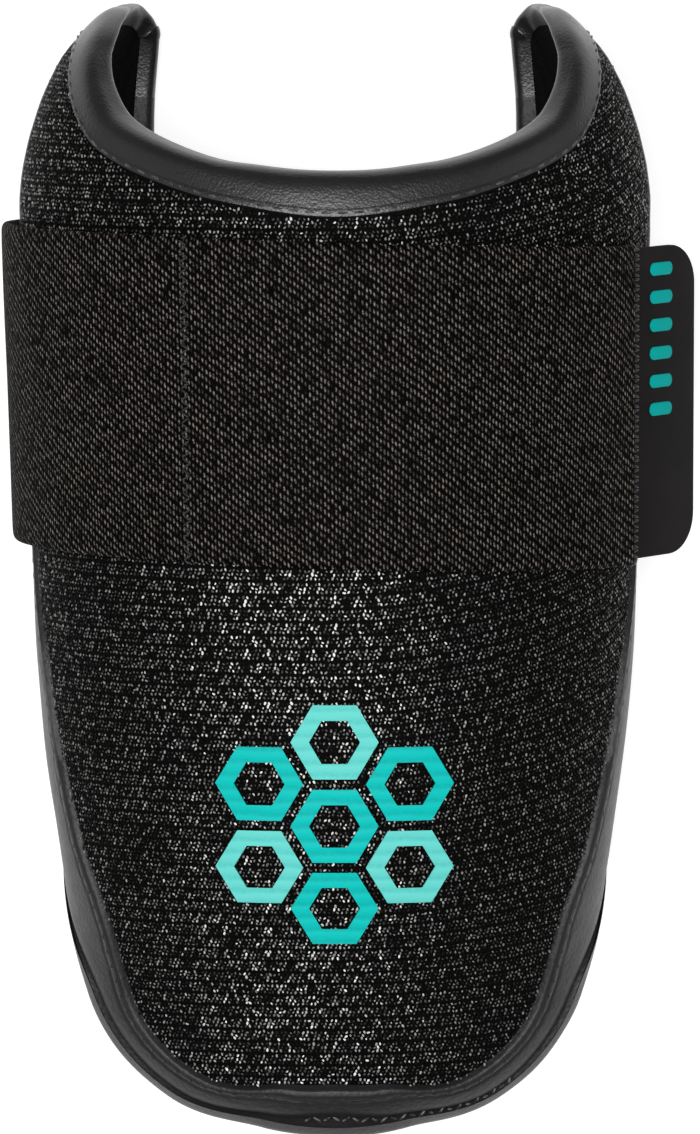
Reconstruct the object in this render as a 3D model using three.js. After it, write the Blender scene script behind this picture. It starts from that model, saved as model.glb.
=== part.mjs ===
// A padded elbow guard, closed with its elastic strap and lying on its back.
// Millimetres. X runs across the arm, Y along the arm towards the upper arm, Z up out of the front.
import * as THREE from 'three';
import { mergeVertices } from 'three/addons/utils/BufferGeometryUtils.js';

// Rows of a short table as objects with named columns
function table(columns, rows) {
  return rows.map((row) => Object.fromEntries(columns.map((name, i) => [name, row[i]])));
}

// Wall build-up, measured in from the outer face
const SKIN = 2.7;
const LINER_START = 3.2;
const PIECE_GAP = 0.3;
const MERGE_DISTANCE = 1e-3;

// The tongue's round tip fans out from a pole on the centre line
const POLE_Y = 28;
const TIP_ARC = 77;

// Sections of the outer form. along: distance from the pole up the arm, below zero round the tip.
// reach: half width. crown: height of the front, which round the tip only carries its slope on past
// the pole. spring: height of the widest line.
// rear_half, rear_height: where the side has curled in behind the arm.
// seam_turn, edge_turn: angle from the front at the mesh seam and at the rear edge.
// wall: full thickness. lip: how far the rear rim flares out past the outer face.
const SECTIONS = table(
  ['along', 'reach', 'crown', 'spring', 'rear_half', 'rear_height', 'seam_turn', 'edge_turn', 'wall', 'lip'],
  [
    [-77, 29, 32, 37, 18, 2, 35.5, 56, 11, 2.8],
    [-51, 31.5, 42, 37, 20, 2, 38, 61, 11, 1.6],
    [-26, 39.8, 52, 36.5, 26, 2, 50.5, 71, 11, 0.9],
    [0, 49, 62, 36, 32, 2, 57, 77, 11, 0.8],
    [16, 53.2, 69, 36, 36, 2, 59, 93, 12, 0.7],
    [32, 56, 75, 36, 39, 1.5, 66, 116, 12, 0.5],
    [52, 58.7, 79.5, 36, 41, 1, 71, 143, 12, 0.3],
    [70, 60.2, 82, 36, 41, 0.6, 75, 170, 12, 0],
    [78, 60.5, 83, 36, 41, 0.6, 78, 180, 12, 0],
    [84, 60.7, 83.3, 36, 41, 2.3, 80, 180, 12, 0],
    [122, 62, 83.5, 36, 41, 2.3, 84, 180, 12, 0],
    [160, 63.2, 81, 36, 41, 2.3, 92, 180, 8.5, 0],
    [166, 62.6, 80, 36, 41, 0.6, 92, 180, 7.4, 0],
    [176, 60.2, 79, 36, 40.4, 0.6, 92, 180, 6, 0],
    [188, 55, 78, 36, 39.4, 2, 92, 180, 5, 0],
    [198, 46, 77, 36, 38.2, 4, 92, 180, 4.8, 0],
    [210, 32, 76, 36, 26, 5, 92, 180, 4.8, 0],
  ],
);

// The neckline dips at the front and climbs to a raised wing on each side
const NECKLINE = table(
  ['turn', 'along'],
  [
    [0, 160.8], [20, 163.6], [35, 167.8], [50, 173.8],
    [60, 180.8], [68, 187], [76, 192], [90, 195.2],
    [125, 195.3], [150, 195.1], [168, 193.8], [180, 193.2],
  ],
);

// Rolled edges: gap to the wall's end, height past it, and how proud each stands of the wall's faces
const NECK_ROLL = { seat: 0.6, height: 6.2, proud: 0.6, sides: 10 };
const NECK_HEIGHT = table(['turn', 'height'], [[0, 6.2], [14, 5.5], [24, 4.8], [35, 4.5], [66, 4.4], [180, 4.6]]);
const REAR_ROLL = { seat: 0.4, height: 5, proud: -0.2, sides: 8 };
const RIM_HEIGHT = table(['along', 'height'], [[-77, 5], [150, 5], [182, 2.8], [200, 2.8]]);
const REAR_ROLL_END = [{ past: 3, scale: 1 }, { past: 5.2, scale: 0.85 }, { past: 6.5, scale: 0.5 }];

// Turns at which the neck binding's section is set, closest where the neckline bends most
const NECK_TURNS = [
  177, 172, 167, 160, 150, 138, 125, 112, 100, 90, 83, 77,
  73, 69, 65, 61, 57, 52, 46, 39, 31, 23, 15, 7, 0,
];

// Share of the wall's thickness where skin and liner meet under a rolled edge
const SEAM_SHARE = 0.27;

// Elastic strap, its stand-off from the body and the way it tilts across the front
const STRAP = { width: 63.6, thickness: 2, middle: 122, tilt: -0.03, rows: 4 };
const STAND_OFF = table(
  ['turn', 'gap'],
  [[-180, 0.3], [-150, 1], [-90, 1.8], [-40, 2.5], [40, 2.5], [62, 2.9], [90, 0.3], [180, 0.3]],
);
const STRAP_SEWN_TURN = 112;
const STRAP_FREE_TURN = 58.5;
const STRAP_TAIL = 5;
const HOOK = { from_turn: -32, to_turn: 50, width: 50, lift: 0.4, thickness: 1.7, rows: 3 };
const TAB = { width: 27, tucked: 4, length: 62, corner: 8, thickness: 1.5, corner_steps: 5 };

// Grid density
const SIDE_ROWS = 16;
const TIP_ROWS = 9;
const MESH_COLUMNS = 10;
const BAND_COLUMNS = 10;
const LINER_COLUMNS = 17;
const STRAP_STEP = 8;
const FLAT_STEPS = 6;

const radians = THREE.MathUtils.degToRad;
const lerp = THREE.MathUtils.lerp;

// Monotone cubic curve through one column of a table, level at both ends
function column(rows, key, name) {
  const xs = rows.map((row) => row[key]);
  const ys = rows.map((row) => row[name]);
  const last = xs.length - 1;
  const rise = (i) => (ys[i + 1] - ys[i]) / (xs[i + 1] - xs[i]);
  const slopes = ys.map((_, i) => {
    if (i === 0 || i === last || rise(i - 1) * rise(i) <= 0) return 0;
    return 2 / (1 / rise(i - 1) + 1 / rise(i));
  });
  return (x) => {
    const held = THREE.MathUtils.clamp(x, xs[0], xs[last]);
    const i = Math.min(last - 1, xs.filter((value) => value <= held).length - 1);
    const span = xs[i + 1] - xs[i];
    const t = (held - xs[i]) / span;
    const start = ys[i] * (1 + 2 * t) + slopes[i] * span * t;
    const end = ys[i + 1] * (3 - 2 * t) - slopes[i + 1] * span * (1 - t);
    return start * (1 - t) ** 2 + end * t ** 2;
  };
}

const section = {};
for (const name of Object.keys(SECTIONS[0]).slice(1)) section[name] = column(SECTIONS, 'along', name);
const neckAlong = column(NECKLINE, 'turn', 'along');
const neckHeight = column(NECK_HEIGHT, 'turn', 'height');
const rimHeight = column(RIM_HEIGHT, 'along', 'height');
const standOff = column(STAND_OFF, 'turn', 'gap');

const POLE_SLOPE = section.crown(1) - section.crown(0);

// A point of the form: along the arm, turned from the front (negative to the left), this deep in the wall
function surfacePoint(along, turn, depth) {
  const angle = radians(Math.abs(turn));
  const reach = section.reach(along) - depth;
  const crown = section.crown(Math.max(0, along)) - depth;
  const spring = section.spring(along);
  const rearHalf = section.rear_half(along);
  const rearHeight = section.rear_height(along) + depth;
  let out = reach * Math.sin(angle);
  let up = spring + (crown - spring) * Math.cos(angle);
  if (angle > Math.PI / 2) {
    out = rearHalf + (reach - rearHalf) * Math.sin(angle);
    up = spring + (spring - rearHeight) * Math.cos(angle);
  }
  const side = Math.sign(turn) || 1;
  if (along >= 0) return new THREE.Vector3(side * out, POLE_Y + along, up);
  const fan = (Math.PI / 2) * (1 + along / TIP_ARC);
  const share = Math.sin(angle);
  const dip = POLE_SLOPE * Math.cos(fan) * out * (1 - share) ** 2;
  return new THREE.Vector3(side * out * Math.sin(fan), POLE_Y - out * Math.cos(fan), up - dip);
}

// Closed body from loose triangles
function solid(triangles) {
  const geometry = new THREE.BufferGeometry();
  const flat = triangles.flat().flatMap((point) => point.toArray());
  geometry.setAttribute('position', new THREE.Float32BufferAttribute(flat, 3));
  const merged = mergeVertices(geometry, MERGE_DISTANCE);
  const index = Array.from(merged.index.array);
  const kept = [];
  for (let i = 0; i < index.length; i += 3) {
    const [a, b, c] = index.slice(i, i + 3);
    if (a !== b && b !== c && c !== a) kept.push(a, b, c);
  }
  merged.setIndex(kept);
  merged.computeVertexNormals();
  return merged;
}

// Two triangles for one quad of a grid, split on its shorter diagonal and turned over when asked
function quad(a, b, c, d, flip) {
  const halves = a.distanceTo(c) <= b.distanceTo(d) ? [[a, b, c], [a, c, d]] : [[a, b, d], [b, c, d]];
  return flip ? halves.map(([p, q, r]) => [p, r, q]) : halves;
}

// Triangles of a grid of points
function gridFaces(grid, flip) {
  const faces = [];
  for (let i = 0; i + 1 < grid.length; i += 1) {
    for (let j = 0; j + 1 < grid[i].length; j += 1) {
      faces.push(...quad(grid[i][j], grid[i + 1][j], grid[i + 1][j + 1], grid[i][j + 1], flip));
    }
  }
  return faces;
}

// Stations down one side, from the neckline to the pole and round to the tip
function sideStations() {
  const stations = [];
  for (let i = 0; i < SIDE_ROWS; i += 1) stations.push({ share: 1 - i / SIDE_ROWS, tip: 0 });
  for (let i = 0; i <= TIP_ROWS; i += 1) stations.push({ share: 0, tip: -TIP_ARC * (i / TIP_ROWS) });
  return stations;
}

// A layer of the wall between two depths and two turns, on both sides of the centre line
function layer({ columns, fromTurn, toTurn, fromDepth, toDepth, centred }) {
  const faces = [];
  for (const side of [1, -1]) {
    const at = (station, j, depth) => {
      const share = j / columns;
      const neckTurn = lerp(fromTurn(neckAlong(0)), toTurn(neckAlong(180)), share);
      const along = station.share * neckAlong(neckTurn) + station.tip;
      const turn = lerp(fromTurn(along), toTurn(along), share);
      return surfacePoint(along, side * turn, depth(along));
    };
    const grid = (depth) => sideStations().map((station) => (
      Array.from({ length: columns + 1 }, (_, j) => at(station, j, depth))
    ));
    const outer = grid(fromDepth);
    const inner = grid(toDepth);
    const flip = side < 0;
    faces.push(...gridFaces(outer, flip), ...gridFaces(inner, !flip));
    faces.push(...gridFaces([inner[0], outer[0]], flip));
    const edge = (j) => [outer.map((row) => row[j]), inner.map((row) => row[j])];
    faces.push(...gridFaces(edge(columns), !flip));
    if (!centred) faces.push(...gridFaces(edge(0), flip));
  }
  return solid(faces);
}

// A rolled edge swept along stations that give both faces of the wall's end and the way out of it
function rolledEdge(stations, { seat, height, proud, sides }) {
  const rings = stations.map(({ outer, inner, outward, scale, tall = height }) => {
    const middle = outer.clone().add(inner).multiplyScalar(0.5);
    const across = outer.clone().sub(inner);
    const half = across.length() / 2 + proud;
    across.normalize();
    const ring = Array.from({ length: sides + 1 }, (_, k) => {
      const angle = Math.PI * (k / sides);
      const lift = seat + tall * scale * Math.sin(angle);
      const shift = half * scale * Math.cos(angle);
      return middle.clone().addScaledVector(across, shift).addScaledVector(outward, lift);
    });
    return [...ring, ring[0].clone().lerp(ring[sides], SEAM_SHARE)];
  });
  const closed = rings.map((ring) => [...ring, ring[0]]);
  const faces = gridFaces(closed, false);
  const cap = (ring, flip) => {
    for (let k = 1; k + 1 < ring.length; k += 1) {
      faces.push(flip ? [ring[0], ring[k + 1], ring[k]] : [ring[0], ring[k], ring[k + 1]]);
    }
  };
  cap(rings[0], false);
  cap(rings[rings.length - 1], true);
  return solid(faces);
}

// One station of a rolled edge: the wall's end there, and the way out of the wall square to the edge
function edgeStation(pointAt, k, pastEdge, { scale = 1, lip = 0 } = {}) {
  const step = 0.25;
  const outer = pointAt(k, 0);
  const inner = pointAt(k, 1);
  outer.addScaledVector(outer.clone().sub(inner).normalize(), lip);
  const tangent = pointAt(k + step, 0).sub(pointAt(k - step, 0)).normalize();
  const outward = pastEdge(k);
  outward.addScaledVector(tangent, -outward.dot(tangent)).normalize();
  return { outer, inner, outward, scale };
}

function neckBinding() {
  const stations = [];
  const pointAt = (turn, deep) => {
    const held = THREE.MathUtils.clamp(turn, -180, 180);
    const along = neckAlong(Math.abs(held));
    return surfacePoint(along, held, deep * section.wall(along));
  };
  const pastEdge = (turn) => {
    const along = neckAlong(Math.abs(turn));
    return surfacePoint(along + 1, turn, 0).sub(surfacePoint(along, turn, 0));
  };
  const across = [...NECK_TURNS.map((turn) => -turn), ...NECK_TURNS.slice(0, -1).reverse()];
  for (const turn of across) {
    stations.push({ ...edgeStation(pointAt, turn, pastEdge), tall: neckHeight(Math.abs(turn)) });
  }
  return rolledEdge(stations, NECK_ROLL);
}

function rearRim() {
  const top = neckAlong(180);
  const sideAt = (k) => (k < 0 ? -1 : 1);
  const alongAt = (k) => Math.abs(k) - TIP_ARC;
  const pointAt = (k, deep) => {
    const along = alongAt(k);
    return surfacePoint(along, sideAt(k) * section.edge_turn(along), deep * section.wall(along));
  };
  const pastEdge = (k) => {
    const along = alongAt(k);
    const turn = section.edge_turn(along);
    const end = surfacePoint(along, sideAt(k) * turn, 0);
    return end.sub(surfacePoint(along, sideAt(k) * (turn - 1), 0));
  };
  const ends = REAR_ROLL_END.map(({ past, scale }) => ({ k: top + TIP_ARC + past, scale })).reverse();
  const run = sideStations().map(({ share, tip }) => ({ k: share * top + tip + TIP_ARC, scale: 1 }));
  const right = [...ends, ...run];
  const left = right.slice(0, -1).map(({ k, scale }) => ({ k: -k, scale })).reverse();
  const stations = [...right, ...left].map(({ k, scale }) => ({
    ...edgeStation(pointAt, k, pastEdge, { scale, lip: section.lip(alongAt(k)) }),
    tall: rimHeight(alongAt(k)),
  }));
  return rolledEdge(stations, REAR_ROLL);
}

// A band of even thickness whose inner and outer rows are given station by station
function bandSolid(inner, outer) {
  const faces = [...gridFaces(outer, false), ...gridFaces(inner, true)];
  const width = outer[0].length - 1;
  const edge = (rows, j) => rows.map((row) => row[j]);
  faces.push(...gridFaces([edge(outer, 0), edge(inner, 0)], false));
  faces.push(...gridFaces([edge(inner, width), edge(outer, width)], false));
  faces.push(...gridFaces([inner[0], outer[0]], false));
  faces.push(...gridFaces([outer[outer.length - 1], inner[inner.length - 1]], false));
  return solid(faces);
}

// Points across the strap at one turn, this far off the body
function strapRow(turn, lift, width, rows) {
  return Array.from({ length: rows + 1 }, (_, j) => {
    const guess = surfacePoint(STRAP.middle, turn, -lift);
    const along = STRAP.middle + STRAP.tilt * guess.x + width * (j / rows - 0.5);
    return surfacePoint(along, turn, -lift);
  });
}

// Way the strap runs where its free end leaves the body
function freeDirection() {
  const ahead = surfacePoint(STRAP.middle, STRAP_FREE_TURN + 1, -standOff(STRAP_FREE_TURN));
  return ahead.sub(surfacePoint(STRAP.middle, STRAP_FREE_TURN, -standOff(STRAP_FREE_TURN))).normalize();
}

// The free end, run on past its last turn until it lies square to the guard
function strapEnd(extra) {
  const row = strapRow(STRAP_FREE_TURN, standOff(STRAP_FREE_TURN) + extra, STRAP.width, STRAP.rows);
  const run = freeDirection();
  const square = (row[0].x + row[STRAP.rows].x) / 2;
  return row.map((point) => point.clone().addScaledVector(run, STRAP_TAIL + (square - point.x) / run.x));
}

function strap() {
  const layerAt = (extra) => {
    const rows = [];
    const at = (turn) => strapRow(turn, standOff(turn) + extra, STRAP.width, STRAP.rows);
    const rightSteps = Math.ceil((180 - STRAP_SEWN_TURN) / STRAP_STEP);
    for (let i = 0; i <= rightSteps; i += 1) rows.push(at(lerp(STRAP_SEWN_TURN, 180, i / rightSteps)));
    const right = at(180);
    const left = at(-180);
    for (let i = 1; i < FLAT_STEPS; i += 1) {
      rows.push(right.map((point, j) => point.clone().lerp(left[j], i / FLAT_STEPS)));
    }
    const frontSteps = Math.ceil((180 + STRAP_FREE_TURN) / STRAP_STEP);
    for (let i = 0; i <= frontSteps; i += 1) rows.push(at(lerp(-180, STRAP_FREE_TURN, i / frontSteps)));
    rows.push(strapEnd(extra));
    return rows;
  };
  return bandSolid(layerAt(0), layerAt(STRAP.thickness));
}

function hookPatch() {
  const layerAt = (lift) => {
    const steps = Math.ceil((HOOK.to_turn - HOOK.from_turn) / STRAP_STEP);
    return Array.from({ length: steps + 1 }, (_, i) => (
      strapRow(lerp(HOOK.from_turn, HOOK.to_turn, i / steps), lift, HOOK.width, HOOK.rows)
    ));
  };
  return bandSolid(layerAt(HOOK.lift), layerAt(HOOK.lift + HOOK.thickness));
}

// Flat rubber tab tucked under the strap's free end, with its two outer corners rounded
function pullTab() {
  const { width, tucked, length, corner, thickness, corner_steps: steps } = TAB;
  const outline = new THREE.Shape();
  outline.moveTo(-tucked, -length / 2);
  outline.lineTo(width - tucked - corner, -length / 2);
  outline.absarc(width - tucked - corner, corner - length / 2, corner, -Math.PI / 2, 0);
  outline.absarc(width - tucked - corner, length / 2 - corner, corner, 0, Math.PI / 2);
  outline.lineTo(-tucked, length / 2);
  outline.closePath();
  const pressing = { depth: thickness, bevelEnabled: false, curveSegments: steps };
  const plate = new THREE.ExtrudeGeometry(outline, pressing);
  const row = strapEnd(0);
  const along = row[STRAP.rows].clone().sub(row[0]).normalize();
  const outward = new THREE.Vector3().crossVectors(freeDirection(), along).normalize();
  const run = new THREE.Vector3().crossVectors(along, outward);
  const end = row[0].clone().lerp(row[STRAP.rows], 0.5);
  end.addScaledVector(outward, -thickness - PIECE_GAP);
  plate.applyMatrix4(new THREE.Matrix4().makeBasis(run, along, outward).setPosition(end));
  plate.deleteAttribute('normal');
  plate.deleteAttribute('uv');
  const merged = mergeVertices(plate, MERGE_DISTANCE);
  merged.computeVertexNormals();
  return merged;
}

const guard = new THREE.Group();

function addPiece(name, geometry, color, roughness) {
  const mesh = new THREE.Mesh(geometry, new THREE.MeshStandardMaterial({ color, roughness, metalness: 0 }));
  mesh.name = name;
  guard.add(mesh);
}

// Sewn skins leave a narrow gap along the seam
const seamGap = (along) => THREE.MathUtils.radToDeg(PIECE_GAP / section.reach(along));

addPiece('mesh_cover', layer({
  columns: MESH_COLUMNS,
  fromTurn: () => 0,
  toTurn: section.seam_turn,
  fromDepth: () => 0,
  toDepth: () => SKIN,
  centred: true,
}), 0x111010, 0.6);

addPiece('side_band', layer({
  columns: BAND_COLUMNS,
  fromTurn: (along) => section.seam_turn(along) + seamGap(along),
  toTurn: section.edge_turn,
  fromDepth: () => 0,
  toDepth: () => SKIN,
  centred: false,
}), 0x2f2d2f, 0.4);

addPiece('padded_liner', layer({
  columns: LINER_COLUMNS,
  fromTurn: () => 0,
  toTurn: section.edge_turn,
  fromDepth: () => LINER_START,
  toDepth: section.wall,
  centred: true,
}), 0x161516, 0.9);

addPiece('neck_binding', neckBinding(), 0x2b292a, 0.4);
addPiece('rear_rim', rearRim(), 0x232123, 0.45);
addPiece('strap', strap(), 0x15120f, 0.85);
addPiece('hook_patch', hookPatch(), 0x0e0e0e, 0.9);
addPiece('pull_tab', pullTab(), 0x262324, 0.7);

// The origin sits on the floor under the middle of the guard
const bounds = new THREE.Box3().setFromObject(guard);
const centre = bounds.getCenter(new THREE.Vector3());
guard.position.set(-centre.x, -centre.y, -bounds.min.z);

export default guard;
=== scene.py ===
import bmesh
import bpy
import numpy as np
from mathutils import Matrix, Vector


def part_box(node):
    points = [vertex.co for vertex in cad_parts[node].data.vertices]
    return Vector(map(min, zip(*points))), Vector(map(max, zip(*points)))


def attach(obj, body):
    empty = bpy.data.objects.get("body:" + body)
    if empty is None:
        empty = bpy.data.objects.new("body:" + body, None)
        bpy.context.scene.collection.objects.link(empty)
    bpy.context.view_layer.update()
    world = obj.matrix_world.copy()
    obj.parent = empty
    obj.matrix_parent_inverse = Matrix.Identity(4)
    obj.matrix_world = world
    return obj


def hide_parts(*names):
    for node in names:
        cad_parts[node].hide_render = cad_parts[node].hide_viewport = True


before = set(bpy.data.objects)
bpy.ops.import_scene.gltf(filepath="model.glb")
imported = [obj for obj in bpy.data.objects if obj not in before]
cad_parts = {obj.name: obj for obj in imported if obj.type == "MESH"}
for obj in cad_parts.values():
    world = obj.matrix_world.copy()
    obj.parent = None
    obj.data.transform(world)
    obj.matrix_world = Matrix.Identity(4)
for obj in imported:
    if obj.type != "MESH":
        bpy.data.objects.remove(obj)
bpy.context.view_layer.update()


# Padded liner. A moulded foam pad that wraps the arm from the front, with a dark brushed knit
# lining glued over its inner face. It carries every other piece of the guard.

MM = 0.001
POLE_Y = 28
TIP_ARC = 77
LINER_START = 3.2
LINING_COLOUR = "#191718"
LINING_RIB = 2.4
PILE_PER_MM = 1.6
PAD_SWELL = {"edge": 0.12, "low": 0.7, "rise": 0.6}

# Sections of the form, mm: distance along the arm from the tongue's pole (below zero round the
# tip), half width, height of the front, height of the widest line, the rear curl's half width and
# height, the turns of the mesh seam and of the rear edge, wall thickness, flare of the rear rim
SECTIONS = np.array([
    (-77, 29, 32, 37, 18, 2, 35.5, 56, 11, 1.9),
    (-51, 31.5, 42, 37, 20, 2, 38, 61, 11, 0.7),
    (-26, 39.8, 52, 36.5, 26, 2, 50.5, 71, 11, 0.5),
    (0, 49, 62, 36, 32, 2, 57, 77, 11, 0.8),
    (16, 53.2, 69, 36, 36, 2, 59, 93, 12, 0.7),
    (32, 56, 75, 36, 39, 1.5, 66, 116, 12, 0.5),
    (52, 58.7, 79.5, 36, 41, 1, 71, 143, 12, 0.3),
    (70, 60.2, 82, 36, 41, 0.6, 75, 170, 12, 0),
    (78, 60.5, 83, 36, 41, 0.6, 78, 180, 12, 0),
    (84, 60.7, 83.3, 36, 41, 2.3, 80, 180, 12, 0),
    (122, 62, 83.5, 36, 41, 2.3, 84, 180, 12, 0),
    (160, 63.2, 81, 36, 41, 2.3, 92, 180, 8.5, 0),
    (166, 62.6, 80, 36, 41, 0.6, 92, 180, 7.4, 0),
    (176, 60.2, 79, 36, 40.4, 0.6, 92, 180, 6, 0),
    (188, 55, 78, 36, 39.4, 2, 92, 180, 5, 0),
    (198, 46, 77, 36, 38.2, 4, 92, 180, 4.8, 0),
    (210, 32, 76, 36, 26, 5, 92, 180, 4.8, 0),
])
SECTION_NAMES = ("along", "reach", "crown", "spring", "rear_half", "rear_height",
                 "seam_turn", "edge_turn", "wall", "flare")

# The neckline dips at the front and climbs to a raised wing on each side: turn, distance along
NECKLINE = np.array([
    (0, 160.8), (20, 163.6), (35, 167.8), (50, 173.8), (60, 180.8), (68, 187),
    (76, 192), (90, 195.2), (125, 195.3), (150, 194.9), (168, 193.8), (180, 192),
])


def curve(xs, ys):
    """Smooth curve through points that never overshoots them, level at both ends."""
    xs, ys = np.asarray(xs, float), np.asarray(ys, float)
    rise = np.diff(ys) / np.diff(xs)
    slopes = np.zeros(len(xs))
    steady = np.flatnonzero(rise[:-1] * rise[1:] > 0)
    slopes[steady + 1] = 2 / (1 / rise[steady] + 1 / rise[steady + 1])

    def at(x):
        held = np.clip(x, xs[0], xs[-1])
        i = np.clip(np.searchsorted(xs, held, side="right") - 1, 0, len(xs) - 2)
        span = xs[i + 1] - xs[i]
        t = (held - xs[i]) / span
        start = ys[i] * (1 + 2 * t) + slopes[i] * span * t
        end = ys[i + 1] * (3 - 2 * t) - slopes[i + 1] * span * (1 - t)
        return start * (1 - t) ** 2 + end * t ** 2

    return at


section = {name: curve(SECTIONS[:, 0], SECTIONS[:, i]) for i, name in enumerate(SECTION_NAMES)}
neck_mirrored = np.vstack([NECKLINE[:0:-1] * (-1, 1), NECKLINE])
neck = curve(neck_mirrored[:, 0], neck_mirrored[:, 1])
pole_slope = section["crown"](1) - section["crown"](0)

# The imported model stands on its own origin, so the mesh panel's box gives the form's shift
panel_low, panel_high = np.array(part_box("mesh_cover")) / MM
tip_row = SECTIONS[0]
tip_y = POLE_Y - tip_row[1] * np.sin(np.radians(tip_row[6]))
form_shift = np.array([(panel_low[0] + panel_high[0]) / 2, panel_low[1] - tip_y, 0])


def form(along, turn, depth=0.0):
    """Points of the form, metres: along the arm, turned from the front, this deep in the wall."""
    along, turn, depth = np.broadcast_arrays(*(np.asarray(v, float) for v in (along, turn, depth)))
    angle = np.radians(np.abs(turn))
    reach = section["reach"](along) - depth
    crown = section["crown"](np.maximum(along, 0)) - depth
    spring = section["spring"](along)
    rear_half = section["rear_half"](along)
    rear_drop = spring - section["rear_height"](along) - depth
    behind = angle > np.pi / 2
    out = np.where(behind, rear_half + (reach - rear_half) * np.sin(angle), reach * np.sin(angle))
    up = spring + np.where(behind, rear_drop, crown - spring) * np.cos(angle)
    fan = np.pi / 2 * (1 + np.minimum(along, 0) / TIP_ARC)
    dip = np.where(along < 0, pole_slope * np.cos(fan) * out * (1 - np.sin(angle)) ** 2, 0)
    x = np.where(turn < 0, -1, 1) * out * np.sin(fan)
    y = POLE_Y + np.maximum(along, 0) - out * np.cos(fan)
    return (np.stack([x, y, up - dip], axis=-1) + form_shift) * MM


def wall_grid(across, start, end, side_rows, tip_rows):
    """Along and turn of a layer: rows from the neckline to the tip, columns from start to end."""
    share = np.r_[np.linspace(1, 0, side_rows, endpoint=False), np.zeros(tip_rows + 1)][:, None]
    tip = np.r_[np.zeros(side_rows), np.linspace(0, -TIP_ARC, tip_rows + 1)][:, None]
    neck_turn = start(neck(0)) + (end(neck(180)) - start(neck(0))) * across[None, :]
    along = share * neck(neck_turn) + tip
    turn = start(along) + (end(along) - start(along)) * across[None, :]
    return along, turn


def both_sides(along, turn):
    """A half grid that starts on the centre line, mirrored to the full width."""
    return (np.hstack([along[:, :0:-1], along]), np.hstack([-turn[:, :0:-1], turn]))


def run_along(points, axis=0):
    """Millimetres run along a line or grid of points in metres, from its first one."""
    steps = np.linalg.norm(np.diff(points, axis=axis), axis=-1) / MM
    return np.insert(np.cumsum(steps, axis=axis), 0, 0, axis=axis)


def surface_map(points):
    """Millimetres across and along a grid of points, from its middle column and first row."""
    across = run_along(points, axis=1)
    across -= across[:, [across.shape[1] // 2]]
    return np.stack([across, -run_along(points)], axis=-1)


def grid_faces(rows, columns, first=0, flip=False):
    """Quads of a grid of vertices numbered row by row."""
    index = first + np.arange(rows * columns).reshape(rows, columns)
    quads = np.stack([index[:-1, :-1], index[1:, :-1], index[1:, 1:], index[:-1, 1:]], axis=-1)
    quads = quads.reshape(-1, 4)
    return quads[:, ::-1] if flip else quads


def set_out(name, data):
    """A new object in the scene that holds this data, at the origin."""
    thing = bpy.data.objects.new(name, data)
    bpy.context.scene.collection.objects.link(thing)
    return thing


def piece_from(name, vertices, faces, uv, material, crease=40):
    """A smooth closed piece at the origin, with a map in millimetres, doubles merged."""
    mesh = bpy.data.meshes.new(name)
    mesh.from_pydata(np.asarray(vertices).tolist(), [], [list(face) for face in faces])
    layer = mesh.uv_layers.new(name="mm")
    corners = np.zeros(len(mesh.loops), dtype=np.int32)
    mesh.loops.foreach_get("vertex_index", corners)
    layer.data.foreach_set("uv", np.asarray(uv, np.float32)[corners].ravel())
    cloth = bmesh.new()
    cloth.from_mesh(mesh)
    bmesh.ops.remove_doubles(cloth, verts=cloth.verts, dist=0.002 * MM)
    bmesh.ops.dissolve_degenerate(cloth, edges=cloth.edges, dist=0.002 * MM)
    bmesh.ops.recalc_face_normals(cloth, faces=cloth.faces)
    cloth.to_mesh(mesh)
    cloth.free()
    mesh.shade_smooth()
    mesh.set_sharp_from_angle(angle=np.radians(crease))
    mesh.materials.append(material)
    return set_out(name, mesh)


def skin(name, outer, inner, uv, material, ring=False):
    """A closed piece between two grids of points; a ring's last column lies on its first."""
    rows, columns = outer.shape[:2]
    count = rows * columns
    index = np.arange(count).reshape(rows, columns)
    edges = [index[0], index[-1, ::-1]]
    if not ring:
        edges = [edges[0], index[:, -1], edges[1], index[::-1, 0]]
    faces = [grid_faces(rows, columns), grid_faces(rows, columns, first=count, flip=True)]
    for edge in edges:
        faces.append(np.stack([edge[:-1], edge[1:], edge[1:] + count, edge[:-1] + count], axis=-1))
    vertices = np.vstack([outer.reshape(-1, 3), inner.reshape(-1, 3)])
    flat_uv = uv.reshape(-1, 2)
    return piece_from(name, vertices, np.vstack(faces), np.vstack([flat_uv, flat_uv]), material)


def linear(hex_code):
    """Linear RGBA of an sRGB hex colour."""
    parts = np.array([int(hex_code[i:i + 2], 16) for i in (1, 3, 5)]) / 255
    shade = np.where(parts <= 0.04045, parts / 12.92, ((parts + 0.055) / 1.055) ** 2.4)
    return (*shade.tolist(), 1.0)


def add_node(tree, kind, inputs=None, **settings):
    """A node with its settings; each input is a value, or the socket that it is linked from."""
    node = tree.nodes.new(kind)
    for name, value in settings.items():
        setattr(node, name, value)
    for name, value in (inputs or {}).items():
        if isinstance(value, bpy.types.NodeSocket):
            tree.links.new(value, node.inputs[name])
        else:
            node.inputs[name].default_value = value
    return node


def new_material(name, **sockets):
    """A material with one principled shader, its even values set straight on the sockets."""
    material = bpy.data.materials.new(name)
    material.use_nodes = True
    shader = material.node_tree.nodes["Principled BSDF"]
    for socket, value in sockets.items():
        shader.inputs[socket.replace("_", " ")].default_value = value
    return material, material.node_tree


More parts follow.
